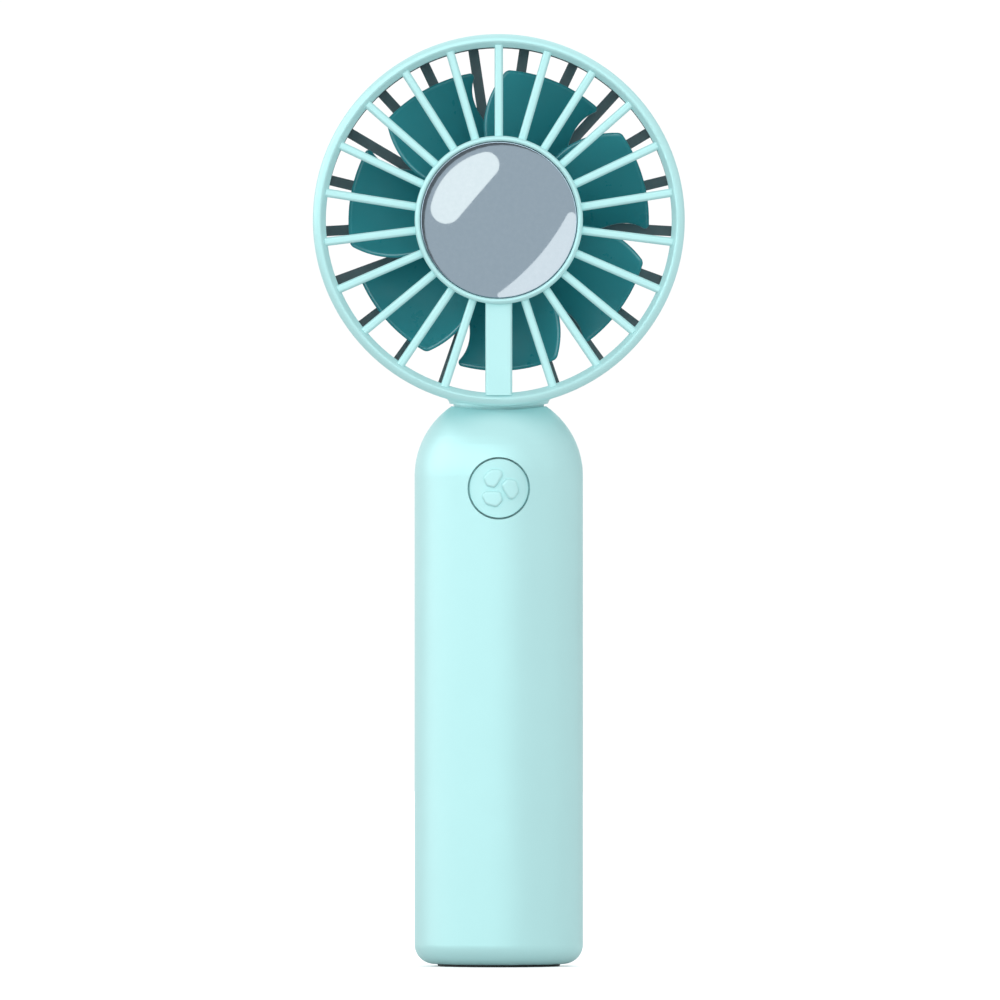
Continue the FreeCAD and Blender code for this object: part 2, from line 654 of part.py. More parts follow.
def blade_outline():
    """A prism along Y with the blade's outline as seen from the front, its tip corners rounded."""
    start_y, length = -14, 30
    radii = spread(IMPELLER_HUB_R - 0.8, TIP_R, 9)
    low = [on_head(r, sweep_angle(r), start_y) for r in radii]
    high = [on_head(r, sweep_angle(r) + blade_span(r), start_y) for r in radii]
    middles = [on_head(r, sweep_angle(r) + blade_span(r) / 2, start_y) for r in (radii[0], radii[-1])]
    curves = []
    for points in (low, high):
        curve = Part.BSplineCurve()
        curve.interpolate(points)
        curves.append(curve.toShape())
    tip = Part.Arc(low[-1], middles[1], high[-1]).toShape()
    root = Part.Arc(high[0], middles[0], low[0]).toShape()
    prism = Part.Face(Part.Wire([curves[0], tip, curves[1], root])).extrude(V(0, length, 0))
    for corner, radius in ((low[-1], 1.6), (high[-1], 0.9)):
        middle = corner + V(0, length / 2, 0)
        edge = min(prism.Edges, key=lambda e: (e.CenterOfMass - middle).Length)
        prism = prism.makeFillet(radius, [edge])
    return prism


def impeller():
    """Seven swept blades on a cup-shaped hub, with a brass insert for the shaft."""
    floor_y = IMPELLER_FRONT_Y + 1.6
    inner_r = IMPELLER_HUB_R - IMPELLER_WALL
    cup = turned_head([
        (INSERT_R, IMPELLER_FRONT_Y), (IMPELLER_HUB_R, IMPELLER_FRONT_Y, 1.2),
        (IMPELLER_HUB_R, IMPELLER_SKIRT_BACK_Y), (inner_r, IMPELLER_SKIRT_BACK_Y), (inner_r, floor_y, 1.0),
        (IMPELLER_BOSS_R, floor_y, 0.5), (IMPELLER_BOSS_R, IMPELLER_BOSS_BACK_Y),
        (INSERT_R, IMPELLER_BOSS_BACK_Y),
    ])
    inside = along_y(IMPELLER_HUB_R - 0.6, -20, 20)
    blade = blade_slab().common(blade_outline())
    long_edges = [e for e in blade.Edges if e.Length > BLADE_EDGE_MIN]
    front_edges = [e for e in long_edges if e.CenterOfMass.y < BLADE_FRONT_Y + 2]
    blade = blade.makeFillet(BLADE_EDGE_ROUND, front_edges).cut(inside)
    wheel = united([cup] + [clocked(blade, i * 360 / BLADES) for i in range(BLADES)])
    keep("impeller", wheel)
    keep("impeller_insert", tube_y(INSERT_R, SHAFT_R, IMPELLER_FRONT_Y + 0.3, IMPELLER_BOSS_BACK_Y + 0.1))


# ---------------------------------------------------------------- handle shells
def pill(radius, bottom_z, corner):
    """A round bar with a domed top and a rounded bottom edge."""
    body = turned_handle([(0, bottom_z), (radius, bottom_z, corner), (radius, DOME_Z), (0, DOME_Z)])
    dome = Part.makeSphere(radius, V(0, 0, DOME_Z), V(0, 0, 1), 0, 90, 360)
    return body.fuse(dome).removeSplitter()


def slot_prism(width, height, y0, y1, z):
    """A stadium-shaped prism along Y."""
    flat = (width - height) / 2
    middle = block((-flat, flat), (y0, y1), (z - height / 2, z + height / 2))
    return united([middle] + [along_y(height / 2, y0, y1, x, z) for x in (-flat, flat)])


def inner_ribs():
    """Round ribs that hold the cell, with a notch on each side for the leads."""
    outer_r = HANDLE_R - 0.6
    rings = [tube_z(outer_r, CELL_R + 0.15, z, z + INNER_RIB_T) for z in CELL_RIB_Z]
    rings.append(tube_z(outer_r, 6.0, CELL_FLOOR_Z - INNER_RIB_T, CELL_FLOOR_Z))
    rings.append(tube_z(outer_r, 6.0, CELL_CEILING_Z, CELL_CEILING_Z + INNER_RIB_T))
    ribs = united(rings)
    for side in (-1, 1):
        ribs = ribs.cut(block(sorted((side * 9.0, side * 11.3)), (-4.0, 4.0), (3, 100)))
    return ribs


def stem_collar():
    """The rib above the stem's flange, which keeps the head from pulling out."""
    z = STEM_BOTTOM_Z + FLANGE_T + 0.1
    return tube_z(HANDLE_R - 0.6, STEM_R + 0.1, z, z + 1.8)


def handle_posts():
    """Bosses for the closing screws and posts for both boards."""
    posts = [along_y(BOSS_R, -12, 12, x, z) for x, z in CLOSE_SCREWS]
    posts += [along_y(1.8, -16.5, BOARD_FRONT_Y, x, BOARD_SCREW_Z) for x in (-BOARD_SCREW_X, BOARD_SCREW_X)]
    for x in (-CHARGE_POST_X, CHARGE_POST_X):
        for y in (-CHARGE_POST_Y, CHARGE_POST_Y):
            posts.append(along_z(1.9, 2.5, CHARGE_BOARD_Z, x, y))
    return posts


def handle_body():
    """The whole handle with its inner ribs and posts, before it is split into two shells."""
    outer = pill(HANDLE_R, SHELL_BOTTOM_Z, BASE_ROUND)
    room = pill(HANDLE_R - WALL, 2.9, 3.0)
    inside = [shape.common(outer) for shape in handle_posts() + [inner_ribs(), stem_collar()]]
    body = united([outer.cut(room)] + inside)
    body = body.cut(saddle(SADDLE_R))
    body = body.cut(along_z(STEM_R + 0.1, STEM_BOTTOM_Z + FLANGE_T, 140))
    body = body.cut(along_z(FOOT_R + 0.05, -1, FOOT_T))
    skin = pill(HANDLE_R + 1, -1, BASE_ROUND)
    skin = skin.cut(pill(HANDLE_R - SEAM_DEPTH, SHELL_BOTTOM_Z + SEAM_DEPTH, BASE_ROUND))
    seam = skin.common(block((-30, 30), (-SEAM_HALF, SEAM_HALF), (-2, 140)))
    return body.cut(seam)


def handle_shells():
    """Front shell with the button hole, rear shell with the socket opening and the screw holes."""
    body = handle_body()
    front = body.common(block((-30, 30), (-30, 0), (-5, 140)))
    rear = body.common(block((-30, 30), (0, 30), (-5, 140)))
    front = front.cut(along_y(BUTTON_HOLE_R, -30, -10, 0, BUTTON_Z))
    front = front.cut(along_y(BUTTON_FLANGE_R + 0.3, BUTTON_FLANGE_Y - 0.1, -12, 0, BUTTON_Z))
    for x, z in CLOSE_SCREWS:
        front = front.cut(along_y(1.0, -7.0, 1, x, z))
        rear = rear.cut(along_y(1.15, -1, 20, x, z)).cut(along_y(1.95, SCREW_SEAT_Y, 25, x, z))
    for x in (-BOARD_SCREW_X, BOARD_SCREW_X):
        front = front.cut(along_y(0.8, -13.2, BOARD_FRONT_Y + 1, x, BOARD_SCREW_Z))
    for x in (-CHARGE_POST_X, CHARGE_POST_X):
        front = front.cut(along_z(0.8, 3.1, 7, x, -CHARGE_POST_Y))
    rear = rear.cut(slot_prism(SOCKET_W + 0.5, SOCKET_H + 0.5, 12, 25, SOCKET_Z))
    rear = rear.cut(slot_prism(SOCKET_W + 3.6, SOCKET_H + 3.4, HANDLE_R - 0.75, 25, SOCKET_Z))
    rear = rear.cut(along_y(LENS_R + 0.05, 12, 25, LAMP_X, SOCKET_Z))
    keep("handle_front_shell", front)
    keep("handle_rear_shell", rear)


def foot_pad():
    """The soft disc under the handle, with a shallow groove round its face."""
    groove_r = FOOT_R - 3.65
    keep("foot_pad", turned_handle([
        (0, 0), (groove_r - 0.55, 0), (groove_r - 0.25, 0.3), (groove_r + 0.25, 0.3), (groove_r + 0.55, 0),
        (FOOT_R, 0, 0.3), (FOOT_R, FOOT_T), (0, FOOT_T),
    ]))


def closing_screws():
    """Four screws that pull the rear shell onto the front shell."""
    screw = pan_screw(1.7, 1.2, 1.0, 13.8)
    keep("shell_screws", *[placed(screw, x, SCREW_SEAT_Y, z) for x, z in CLOSE_SCREWS])


# ---------------------------------------------------------------- button and control board
def sign_lobe(turn, skin):
    """One lobe of the plain fan sign, turned by turn degrees, with a rounded top that follows the skin."""
    corners = [
        (0.9, -75, 0.6), (2.7, -66, 0.9), (4.2, -40, 1.1), (4.5, -6, 1.3),
        (4.2, 32, 1.1), (2.6, 32, 0.7), (0.9, 5, 0.6),
    ]
    points = []
    for r, clock, rounding in corners:
        a = math.radians(clock)
        points.append((r * math.sin(a), r * math.cos(a), rounding))
    prism = Part.Face(outline(points, lambda x, z: V(x, -20, BUTTON_Z + z))).extrude(V(0, 3.2, 0))
    prism.rotate(V(0, 0, BUTTON_Z), V(0, 1, 0), turn)
    lobe = prism.common(skin)
    top_edges = [e for e in lobe.Edges if all(math.hypot(v.X, v.Y) > SIGN_FACE_R - 0.01 for v in e.Vertexes)]
    return lobe.makeFillet(SIGN_EDGE_ROUND, top_edges)


def power_button():
    """The round key: a face that follows the handle, a raised sign, a flange inside and a post."""
    z_range = (BUTTON_Z - 10, BUTTON_Z + 10)
    key = along_y(BUTTON_R, -20, BUTTON_FLANGE_Y, 0, BUTTON_Z).common(along_z(BUTTON_FACE_R, *z_range))
    skin = along_z(SIGN_FACE_R, *z_range)
    lobes = [sign_lobe(angle + SIGN_TURN, skin) for angle in THIRDS]
    flange = along_y(BUTTON_FLANGE_R, BUTTON_FLANGE_Y, BUTTON_FLANGE_Y + 0.8, 0, BUTTON_Z)
    post = along_y(2.0, BUTTON_FLANGE_Y + 0.7, PLUNGER_FRONT_Y, 0, BUTTON_Z)
    keep("power_button", united([key, flange, post] + lobes))


def tact_switch():
    """The square switch behind the key and its plunger."""
    front_y = BOARD_FRONT_Y - SWITCH_H
    half = SWITCH_HALF_W
    body = block((-half, half), (front_y, BOARD_FRONT_Y), (BUTTON_Z - half, BUTTON_Z + half))
    body = body.makeChamfer(0.35, [e for e in body.Edges if abs(e.Length - SWITCH_H) < 0.01])
    well = along_y(PLUNGER_R + 0.1, front_y - 1, front_y + 1.4, 0, BUTTON_Z)
    keep("tact_switch", body.cut(well))
    keep("switch_plunger", along_y(PLUNGER_R, PLUNGER_FRONT_Y, front_y + 0.4, 0, BUTTON_Z))


def control_board():
    """The upright board behind the button, with its motor driver, capacitor and resistors."""
    back_y = BOARD_FRONT_Y + BOARD_T
    board = block((-BOARD_HALF_W, BOARD_HALF_W), (BOARD_FRONT_Y, back_y), BOARD_Z)
    board = board.makeFillet(1.0, [e for e in board.Edges if abs(e.Length - BOARD_T) < 0.01])
    for x in (-BOARD_SCREW_X, BOARD_SCREW_X):
        board = board.cut(along_y(0.9, BOARD_FRONT_Y - 1, back_y + 1, x, BOARD_SCREW_Z))
    keep("control_board", board)

    package_z = (94.5, 99.5)
    package = block((-2.0, 2.0), (back_y + 0.2, back_y + 1.5), package_z)
    leg_y, leg_pitch = (back_y, back_y + 0.35), 1.2
    leg_heights = [package_z[0] + 0.7 + i * leg_pitch for i in range(4)]
    legs = [block((-2.6, 2.6), leg_y, (z - 0.25, z + 0.25)) for z in leg_heights]
    keep("speed_controller", united([package] + legs))

    cap_x, cap_z = -5.6, 102.0
    tin = along_y(2.4, back_y, back_y + 5.6, cap_x, cap_z)
    crimp = tube_y(3.0, 2.2, back_y + 0.9, back_y + 1.3, cap_x, cap_z)
    keep("motor_capacitor", tin.cut(crimp))
    keep("board_resistors", *[
        block((x - 0.5, x + 0.5), (back_y, back_y + 0.5), (z - 0.3, z + 0.3))
        for x in (4.2, 5.8, 7.4) for z in (94.0, 96.2, 98.4)
    ])


def board_screws():
    """Two screws into the upright board's posts and two into the level board's front posts."""
    screw = pan_screw(1.5, 0.9, 0.8, 3.4)
    board_top = CHARGE_BOARD_Z + CHARGE_BOARD_T
    back_y = BOARD_FRONT_Y + BOARD_T
    upright = [placed(screw, x, back_y, BOARD_SCREW_Z) for x in (-BOARD_SCREW_X, BOARD_SCREW_X)]
    level = [
        placed(screw, x, -CHARGE_POST_Y, board_top, V(1, 0, 0), 90) for x in (-CHARGE_POST_X, CHARGE_POST_X)
    ]
    keep("board_screws", *(upright + level))


# ---------------------------------------------------------------- charging board
def charge_board():
    """The level board at the bottom, with a tongue under the socket."""
    z0, z1 = CHARGE_BOARD_Z, CHARGE_BOARD_Z + CHARGE_BOARD_T
    half = CHARGE_BOARD_HALF
    board = block((-half, half), (-half, half), (z0, z1))
    board = board.makeFillet(1.5, [e for e in board.Edges if abs(e.Length - CHARGE_BOARD_T) < 0.01])
    board = united([board, block((-6.0, 6.0), (half - 2, 14.6), (z0, z1))])
    for x in (-CHARGE_POST_X, CHARGE_POST_X):
        board = board.cut(along_z(0.9, z0 - 1, z1 + 1, x, -CHARGE_POST_Y))
    keep("charge_board", board)


def charge_board_parts():
    """Charging chip, inductor, capacitors, and the charging lamp with its lens."""
    z = CHARGE_BOARD_Z + CHARGE_BOARD_T
    package = block((-2.5, 2.5), (-4.0, 0.0), (z + 0.15, z + 1.5))
    legs = [block((x - 0.25, x + 0.25), (-5.0, 1.0), (z, z + 0.35)) for x in (-1.8, -0.6, 0.6, 1.8)]
    keep("charge_controller", united([package] + legs))

    coil_h = 2.4
    coil = block((-7.6, -3.6), (-1.5, 2.5), (z, z + coil_h))
    coil = coil.makeFillet(0.8, [e for e in coil.Edges if abs(e.Length - coil_h) < 0.01])
    keep("power_inductor", coil)
    chips = [block((x, x + 1.2), (3.6, 5.6), (z, z + 1.0)) for x in (-2.4, -0.4, 1.6, 3.6)]
    keep("charge_capacitors", *chips)

    keep("status_lamp", block((LAMP_X - 0.8, LAMP_X + 0.8), (9.2, 10.0), (z, SOCKET_Z + 0.6)))
    light_pipe = along_y(LENS_R, 10.4, 20, LAMP_X, SOCKET_Z)
    keep("lamp_lens", light_pipe.common(along_z(HANDLE_R - 0.1, SOCKET_Z - 3, SOCKET_Z + 3)))


def charge_socket():
    """The metal shell of the socket, and the tongue inside it."""
    wall = 0.3
    front_y = SOCKET_BACK_Y - SOCKET_LENGTH
    shell = slot_prism(SOCKET_W, SOCKET_H, front_y, SOCKET_BACK_Y, SOCKET_Z)
    inner_w, inner_h = SOCKET_W - 2 * wall, SOCKET_H - 2 * wall
    shell = shell.cut(slot_prism(inner_w, inner_h, front_y + wall, SOCKET_BACK_Y + 1, SOCKET_Z))
    keep("usb_socket_shell", shell)
    base = slot_prism(inner_w, inner_h, front_y + wall, front_y + 1.8, SOCKET_Z)
    tongue = block((-3.35, 3.35), (front_y + 1.6, SOCKET_BACK_Y - 0.9), (SOCKET_Z - 0.35, SOCKET_Z + 0.35))
    keep("usb_socket_tongue", united([base, tongue]))


# ---------------------------------------------------------------- battery
def battery():
    """The rechargeable cell with its wrap, end caps, tabs and foam pads."""
    groove_z = CELL_TOP_Z - 3.2
    core = along_z(CELL_R - WRAP_T, CELL_BOTTOM_Z, CELL_TOP_Z)
    keep("battery_cell", core.cut(tube_z(CELL_R + 1, CELL_R - 0.8, groove_z, groove_z + 1.0)))
    keep("battery_wrap", tube_z(CELL_R, CELL_R - WRAP_T, CELL_BOTTOM_Z + 0.2, CELL_TOP_Z - 0.1))
    keep("battery_insulator", tube_z(CELL_R - 0.6, 3.5, CELL_TOP_Z, CELL_TOP_Z + 0.25))
    keep("battery_terminal", along_z(3.1, CELL_TOP_Z, CELL_NUB_Z))
    upper = block((-3.0, 10.9), (-2.0, 2.0), (CELL_NUB_Z, CELL_NUB_Z + TAB_T))
    lower = block((-10.9, 3.0), (-2.0, 2.0), (CELL_BOTTOM_Z - TAB_T, CELL_BOTTOM_Z))
    keep("battery_tabs", upper, lower)
    low_pad = along_z(8.4, CELL_FLOOR_Z, CELL_BOTTOM_Z - TAB_T)
    high_pad = along_z(8.4, CELL_NUB_Z + TAB_T, CELL_CEILING_Z)
    keep("battery_pads", low_pad, high_pad)


# ---------------------------------------------------------------- leads
def battery_leads():
    """Two leads from the cell's tabs down to the charging board."""
    board_z = CHARGE_BOARD_Z + CHARGE_BOARD_T
    run_x, pad_x = 10.2, 9.6
    keep("battery_lead_negative", wire([
        (-run_x, -0.4, CELL_BOTTOM_Z - TAB_T), (-run_x, -0.4, 10.8),
        (-pad_x, -1.2, 8.8), (-pad_x, -1.2, board_z),
    ]))
    keep("battery_lead_positive", wire([
        (run_x, 0, CELL_NUB_Z), (run_x, 0, 12.0), (pad_x, -1.2, 9.0), (pad_x, -1.2, board_z),
    ]))


def supply_leads():
    """Two leads that rise beside the cell, from the charging board to the control board."""
    board_z = CHARGE_BOARD_Z + CHARGE_BOARD_T
    back_y = BOARD_FRONT_Y + BOARD_T
    for name, side in (("supply_lead_positive", -1), ("supply_lead_negative", 1)):
        keep(name, wire([
            (side * 9.6, 2.5, board_z), (side * 9.6, 2.5, 9.4), (side * 10.2, 2.9, 11.2),
            (side * 10.2, 2.9, 78.0), (side * 9.0, 2.1, 84.0), (side * 4.6, -4.0, 89.6),
            (side * 4.6, back_y, 89.6),
        ]))


def motor_leads():
    """Two leads up through the stem, back under the impeller and up the rear grille's channel."""
    lug_z = HEAD_Z - TERMINAL_DROP - 0.2
    channel_y = CHANNEL_FLOOR_Y - WIRE_R - 0.15
    back_y = BOARD_FRONT_Y + BOARD_T
    for name, side in (("motor_lead_positive", -1), ("motor_lead_negative", 1)):
        x = side * CHANNEL_W / 4
        keep(name, wire([
            (side * 1.6, back_y, 106.0), (side * 1.6, -5.4, 106.0), (side * 0.9, -0.6, 109.6),
            (x, 0.0, 115.0), (x, 0.4, 120.6), (x, 2.6, 123.8), (x, 6.4, 124.3), (x, 10.6, 124.5),
            (x, channel_y, 127.4), (x, channel_y, 149.9), (side * LUG_X, channel_y, 151.6),
            (side * LUG_X, channel_y, lug_z),
        ]))


# ---------------------------------------------------------------- build
PIECES = (
    front_grille, mirror, head_shell, rear_grille, rear_hub_cap,
    motor_mount, head_screws, motor_can, motor_bearings, motor_end_cap, motor_rotor, impeller,
    handle_shells, foot_pad, closing_screws,
    power_button, tact_switch, control_board, board_screws,
    charge_board, charge_board_parts, charge_socket,
    battery, battery_leads, supply_leads, motor_leads,
)


def main():
    for make in PIECES:
        make()
    os.makedirs("parts", exist_ok=True)
    for name, shape in NODES.items():
        volume = sum(solid.Volume for solid in shape.Solids)
        state = "ok" if shape.isValid() and volume > 0 else "BAD"
        print(f"{name:24s} {state} solids {len(shape.Solids)} volume {volume:10.2f}")
        shape.exportStep(f"parts/{name}.step")


main()
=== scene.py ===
import json
import math

import bpy
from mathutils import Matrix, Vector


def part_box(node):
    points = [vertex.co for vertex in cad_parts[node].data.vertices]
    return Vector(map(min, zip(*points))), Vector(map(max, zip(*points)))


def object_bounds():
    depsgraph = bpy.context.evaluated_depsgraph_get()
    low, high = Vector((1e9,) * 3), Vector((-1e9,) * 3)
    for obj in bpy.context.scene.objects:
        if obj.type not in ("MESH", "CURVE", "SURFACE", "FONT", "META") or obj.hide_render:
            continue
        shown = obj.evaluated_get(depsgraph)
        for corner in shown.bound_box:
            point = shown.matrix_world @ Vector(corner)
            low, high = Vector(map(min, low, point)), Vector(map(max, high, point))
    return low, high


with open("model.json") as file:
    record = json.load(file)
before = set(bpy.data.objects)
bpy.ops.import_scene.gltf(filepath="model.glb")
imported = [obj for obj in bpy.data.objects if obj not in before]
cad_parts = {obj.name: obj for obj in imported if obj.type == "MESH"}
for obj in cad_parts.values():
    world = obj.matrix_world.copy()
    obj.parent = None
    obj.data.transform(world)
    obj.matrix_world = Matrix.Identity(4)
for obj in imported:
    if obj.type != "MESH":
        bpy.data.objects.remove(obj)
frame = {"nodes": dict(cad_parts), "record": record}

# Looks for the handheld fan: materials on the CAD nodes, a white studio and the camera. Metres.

cad_low, cad_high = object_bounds()
nodes = frame["nodes"]

# ---------------------------------------------------------------- places worked out from the frame
MILLI = 0.001
total_height = cad_high.z
grille_low, grille_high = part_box("front_grille")
mirror_low, mirror_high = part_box("mirror")
head_centre_z = (grille_low.z + grille_high.z) / 2
head_radius = (grille_high.z - grille_low.z) / 2
mirror_radius = (mirror_high.x - mirror_low.x) / 2

# The picture is VIEW_WIDTH across in a plane that stands VIEW_PLANE_GAP in front of the origin.
CAMERA_DISTANCE = 5.0
CAMERA_X = 0.00026
CAMERA_REACH = 100.0
VIEW_WIDTH = total_height * 1.0716
VIEW_CENTRE_Z = total_height * 0.5007
VIEW_PLANE_GAP = head_radius * 0.3
SENSOR_MM = 36.0

# ---------------------------------------------------------------- studio sizes and strengths
WHITE = (1.0, 1.0, 1.0)
WORLD_STRENGTH = 1.03
FLOOR_HALF_WIDTH = 3.0
UNDERLAY_Z = -0.5 * MILLI
PAPER_GLOW = 0.35

# Sweeps stand round the object between clock angles: 0 is the camera's side and 90 the object's +X side.
SWEEP_RADIUS = 7.0
SWEEP_LOW = -0.5
SWEEP_HIGH = 6.0
SWEEP_PANELS = 24
KEY_START = -115.0
KEY_EDGE = 2.0
KEY_STEPS = 6
KEY_STEP = 5.0
KEY_STRENGTH = 4.6
FLAG_START = 85.0
FLAG_END = 160.0
FLAG_STRENGTH = 0.1

# Cards stand in front of the mirror, the nearest hiding the others. Their outlines are in mirror radii.
PANEL_DISTANCE = 6.25
SHADE_DISTANCE = 6.27
SURROUND_DISTANCE = 6.30
SURROUND_R = 1.4
SURROUND_CORNERS = 32
ARC_POINTS = 24


# ---------------------------------------------------------------- material helpers
# most of a noise lies between these values
NOISE_LOW = 0.3
NOISE_HIGH = 0.7


def new_material(name):
    """A material with its shader and the tools to add nodes to it."""
    material = bpy.data.materials.new(name)
    material.use_nodes = True
    tree = material.node_tree
    return material, tree, tree.nodes["Principled BSDF"]


def add(tree, kind, **values):
    """A node with its properties set; values named after inputs go to those inputs."""
    node = tree.nodes.new(kind)
    for key, value in values.items():
        if hasattr(node, key):
            setattr(node, key, value)
        else:
            node.inputs[key.replace("_", " ")].default_value = value
    return node


def link(tree, source, target):
    """Joins an output to an input."""
    tree.links.new(source, target)


def object_coordinates(tree, stretch=(1.0, 1.0, 1.0)):
    """Coordinates in metres, stretched along each axis."""
    place = add(tree, "ShaderNodeTexCoord")
    mapping = add(tree, "ShaderNodeMapping")
    mapping.inputs["Scale"].default_value = stretch
    link(tree, place.outputs["Object"], mapping.inputs["Vector"])
    return mapping.outputs["Vector"]


def noise(tree, coordinates, per_metre, detail=3.0, roughness=0.5):
    """Noise with about per_metre lumps in a metre."""
    node = add(tree, "ShaderNodeTexNoise")
    node.inputs["Scale"].default_value = per_metre
    node.inputs["Detail"].default_value = detail
    node.inputs["Roughness"].default_value = roughness
    link(tree, coordinates, node.inputs["Vector"])
    return node.outputs["Fac"]


def spread(tree, value, low=0.0, high=1.0):
    """Maps the span that holds most of a noise to low to high."""
    node = add(tree, "ShaderNodeMapRange")
    node.inputs["From Min"].default_value = NOISE_LOW
    node.inputs["From Max"].default_value = NOISE_HIGH
    node.inputs["To Min"].default_value = low
    node.inputs["To Max"].default_value = high
    link(tree, value, node.inputs["Value"])
    return node.outputs["Result"]


def shades(tree, value, dark, light):
    """A colour between dark and light."""
    node = add(tree, "ShaderNodeMix", data_type="RGBA")
    node.inputs["A"].default_value = (*dark, 1.0)
    node.inputs["B"].default_value = (*light, 1.0)
    link(tree, value, node.inputs["Factor"])
    return node.outputs["Result"]


def mottled(tree, value, dark, light):
    """A colour that follows a noise from dark to light."""
    return shades(tree, spread(tree, value), dark, light)


def bump(tree, shader, height, distance):
    """Bump that is distance metres deep."""
    node = add(tree, "ShaderNodeBump")
    node.inputs["Distance"].default_value = distance
    link(tree, height, node.inputs["Height"])
    link(tree, node.outputs["Normal"], shader.inputs["Normal"])


def scaled(colour, factor):
    """The colour made darker or lighter."""
    return tuple(channel * factor for channel in colour)


# ---------------------------------------------------------------- materials
# how far the roughness of one moulding strays from its mean
GLOSS_RANGE = 0.035


def moulded_plastic(name, colour, roughness=0.42, grain=0.000012, mottle=0.02, tint=None, level=0.5):
    """Injection-moulded plastic: a spark-eroded grain, faint flow mottling and uneven gloss."""
    material, tree, shader = new_material(name)
    place = object_coordinates(tree)
    flow = noise(tree, place, 55.0, 4.0)
    link(tree, mottled(tree, flow, scaled(colour, 1 - mottle), colour), shader.inputs["Base Color"])
    handled = noise(tree, place, 240.0, 5.0, 0.6)
    gloss = spread(tree, handled, roughness - GLOSS_RANGE, roughness + GLOSS_RANGE)
    link(tree, gloss, shader.inputs["Roughness"])
    bump(tree, shader, noise(tree, place, 4200.0, 2.0), grain)
    shader.inputs["Specular IOR Level"].default_value = level
    if tint is not None:
        shader.inputs["Specular Tint"].default_value = (*tint, 1.0)
    return material


def mirror_glass():
    """Silvered glass with a faint grey-blue tone and the slightest haze."""
    material, tree, shader = new_material("mirror_glass")
    place = object_coordinates(tree)
    haze = noise(tree, place, 900.0, 4.0, 0.6)
    tone = mottled(tree, haze, (0.285, 0.365, 0.43), (0.30, 0.38, 0.445))
    link(tree, tone, shader.inputs["Base Color"])
    shader.inputs["Metallic"].default_value = 1.0
    link(tree, spread(tree, haze, 0.003, 0.005), shader.inputs["Roughness"])
    return material


def brushed_metal(name, colour, roughness=0.3, stretch=(1.0, 1.0, 30.0)):
    """Drawn or plated metal with fine lines along one axis."""
    material, tree, shader = new_material(name)
    place = object_coordinates(tree, stretch)
    lines = noise(tree, place, 600.0, 4.0, 0.7)
    link(tree, mottled(tree, lines, scaled(colour, 0.86), colour), shader.inputs["Base Color"])
    brushing = 2 * GLOSS_RANGE
    link(tree, spread(tree, lines, roughness - brushing, roughness + brushing), shader.inputs["Roughness"])
    bump(tree, shader, lines, 0.000006)
    shader.inputs["Metallic"].default_value = 1.0
    return material


def foam(name, colour):
    """Closed-cell foam: small open cells and no gloss."""
    material, tree, shader = new_material(name)
    cells = add(tree, "ShaderNodeTexVoronoi")
    cells.inputs["Scale"].default_value = 2600.0
    link(tree, object_coordinates(tree), cells.inputs["Vector"])
    cell_shade = shades(tree, cells.outputs["Distance"], scaled(colour, 0.75), colour)
    link(tree, cell_shade, shader.inputs["Base Color"])
    bump(tree, shader, cells.outputs["Distance"], 0.00012)
    shader.inputs["Roughness"].default_value = 0.9
    return material


def silicone(name, colour):
    """Soft matt silicone with a fine dusting."""
    material, tree, shader = new_material(name)
    place = object_coordinates(tree)
    dust = noise(tree, place, 1500.0, 5.0, 0.7)
    link(tree, mottled(tree, dust, colour, scaled(colour, 1.35)), shader.inputs["Base Color"])
    bump(tree, shader, dust, 0.00002)
    shader.inputs["Roughness"].default_value = 0.72
    shader.inputs["Sheen Weight"].default_value = 0.15
    return material


def board_laminate():
    """Green solder mask over the faint lines of the copper beneath."""
    material, tree, shader = new_material("board_laminate")
    place = object_coordinates(tree)
    tracks = add(tree, "ShaderNodeTexBrick")
    tracks.inputs["Scale"].default_value = 900.0
    tracks.inputs["Mortar Size"].default_value = 0.03
    tracks.inputs["Color1"].default_value = (0.012, 0.11, 0.045, 1.0)
    tracks.inputs["Color2"].default_value = (0.016, 0.15, 0.06, 1.0)
    tracks.inputs["Mortar"].default_value = (0.008, 0.06, 0.03, 1.0)
    link(tree, place, tracks.inputs["Vector"])
    link(tree, tracks.outputs["Color"], shader.inputs["Base Color"])
    bump(tree, shader, tracks.outputs["Fac"], 0.00003)
    shader.inputs["Roughness"].default_value = 0.28
    return material


def copper_winding():
    """Enamelled copper wire laid in turns."""
    material, tree, shader = new_material("winding_copper")
    wire = add(tree, "ShaderNodeTexWave", bands_direction="Y")
    wire.inputs["Scale"].default_value = 1500.0
    wire.inputs["Distortion"].default_value = 1.2
    link(tree, object_coordinates(tree), wire.inputs["Vector"])
    copper = shades(tree, wire.outputs["Fac"], (0.30, 0.09, 0.03), (0.75, 0.30, 0.12))
    link(tree, copper, shader.inputs["Base Color"])
    bump(tree, shader, wire.outputs["Fac"], 0.0001)
    shader.inputs["Metallic"].default_value = 0.8
    shader.inputs["Roughness"].default_value = 0.3
    return material


def cell_wrap():
    """Heat-shrunk film with a slight ripple."""
    material, tree, shader = new_material("cell_wrap")
    place = object_coordinates(tree, (1.0, 1.0, 0.25))
    ripple = noise(tree, place, 300.0, 3.0)
    link(tree, mottled(tree, ripple, (0.05, 0.22, 0.34), (0.07, 0.27, 0.40)), shader.inputs["Base Color"])
    bump(tree, shader, ripple, 0.00005)
    shader.inputs["Roughness"].default_value = 0.25
    shader.inputs["Coat Weight"].default_value = 0.4
    return material


def fired_ceramic(name, colour, roughness):
    """Sintered ceramic: a fine speckle."""
    material, tree, shader = new_material(name)
    speckle = noise(tree, object_coordinates(tree), 5000.0, 2.0)
    link(tree, mottled(tree, speckle, scaled(colour, 0.7), colour), shader.inputs["Base Color"])
    bump(tree, shader, speckle, 0.00001)
    shader.inputs["Roughness"].default_value = roughness
    return material


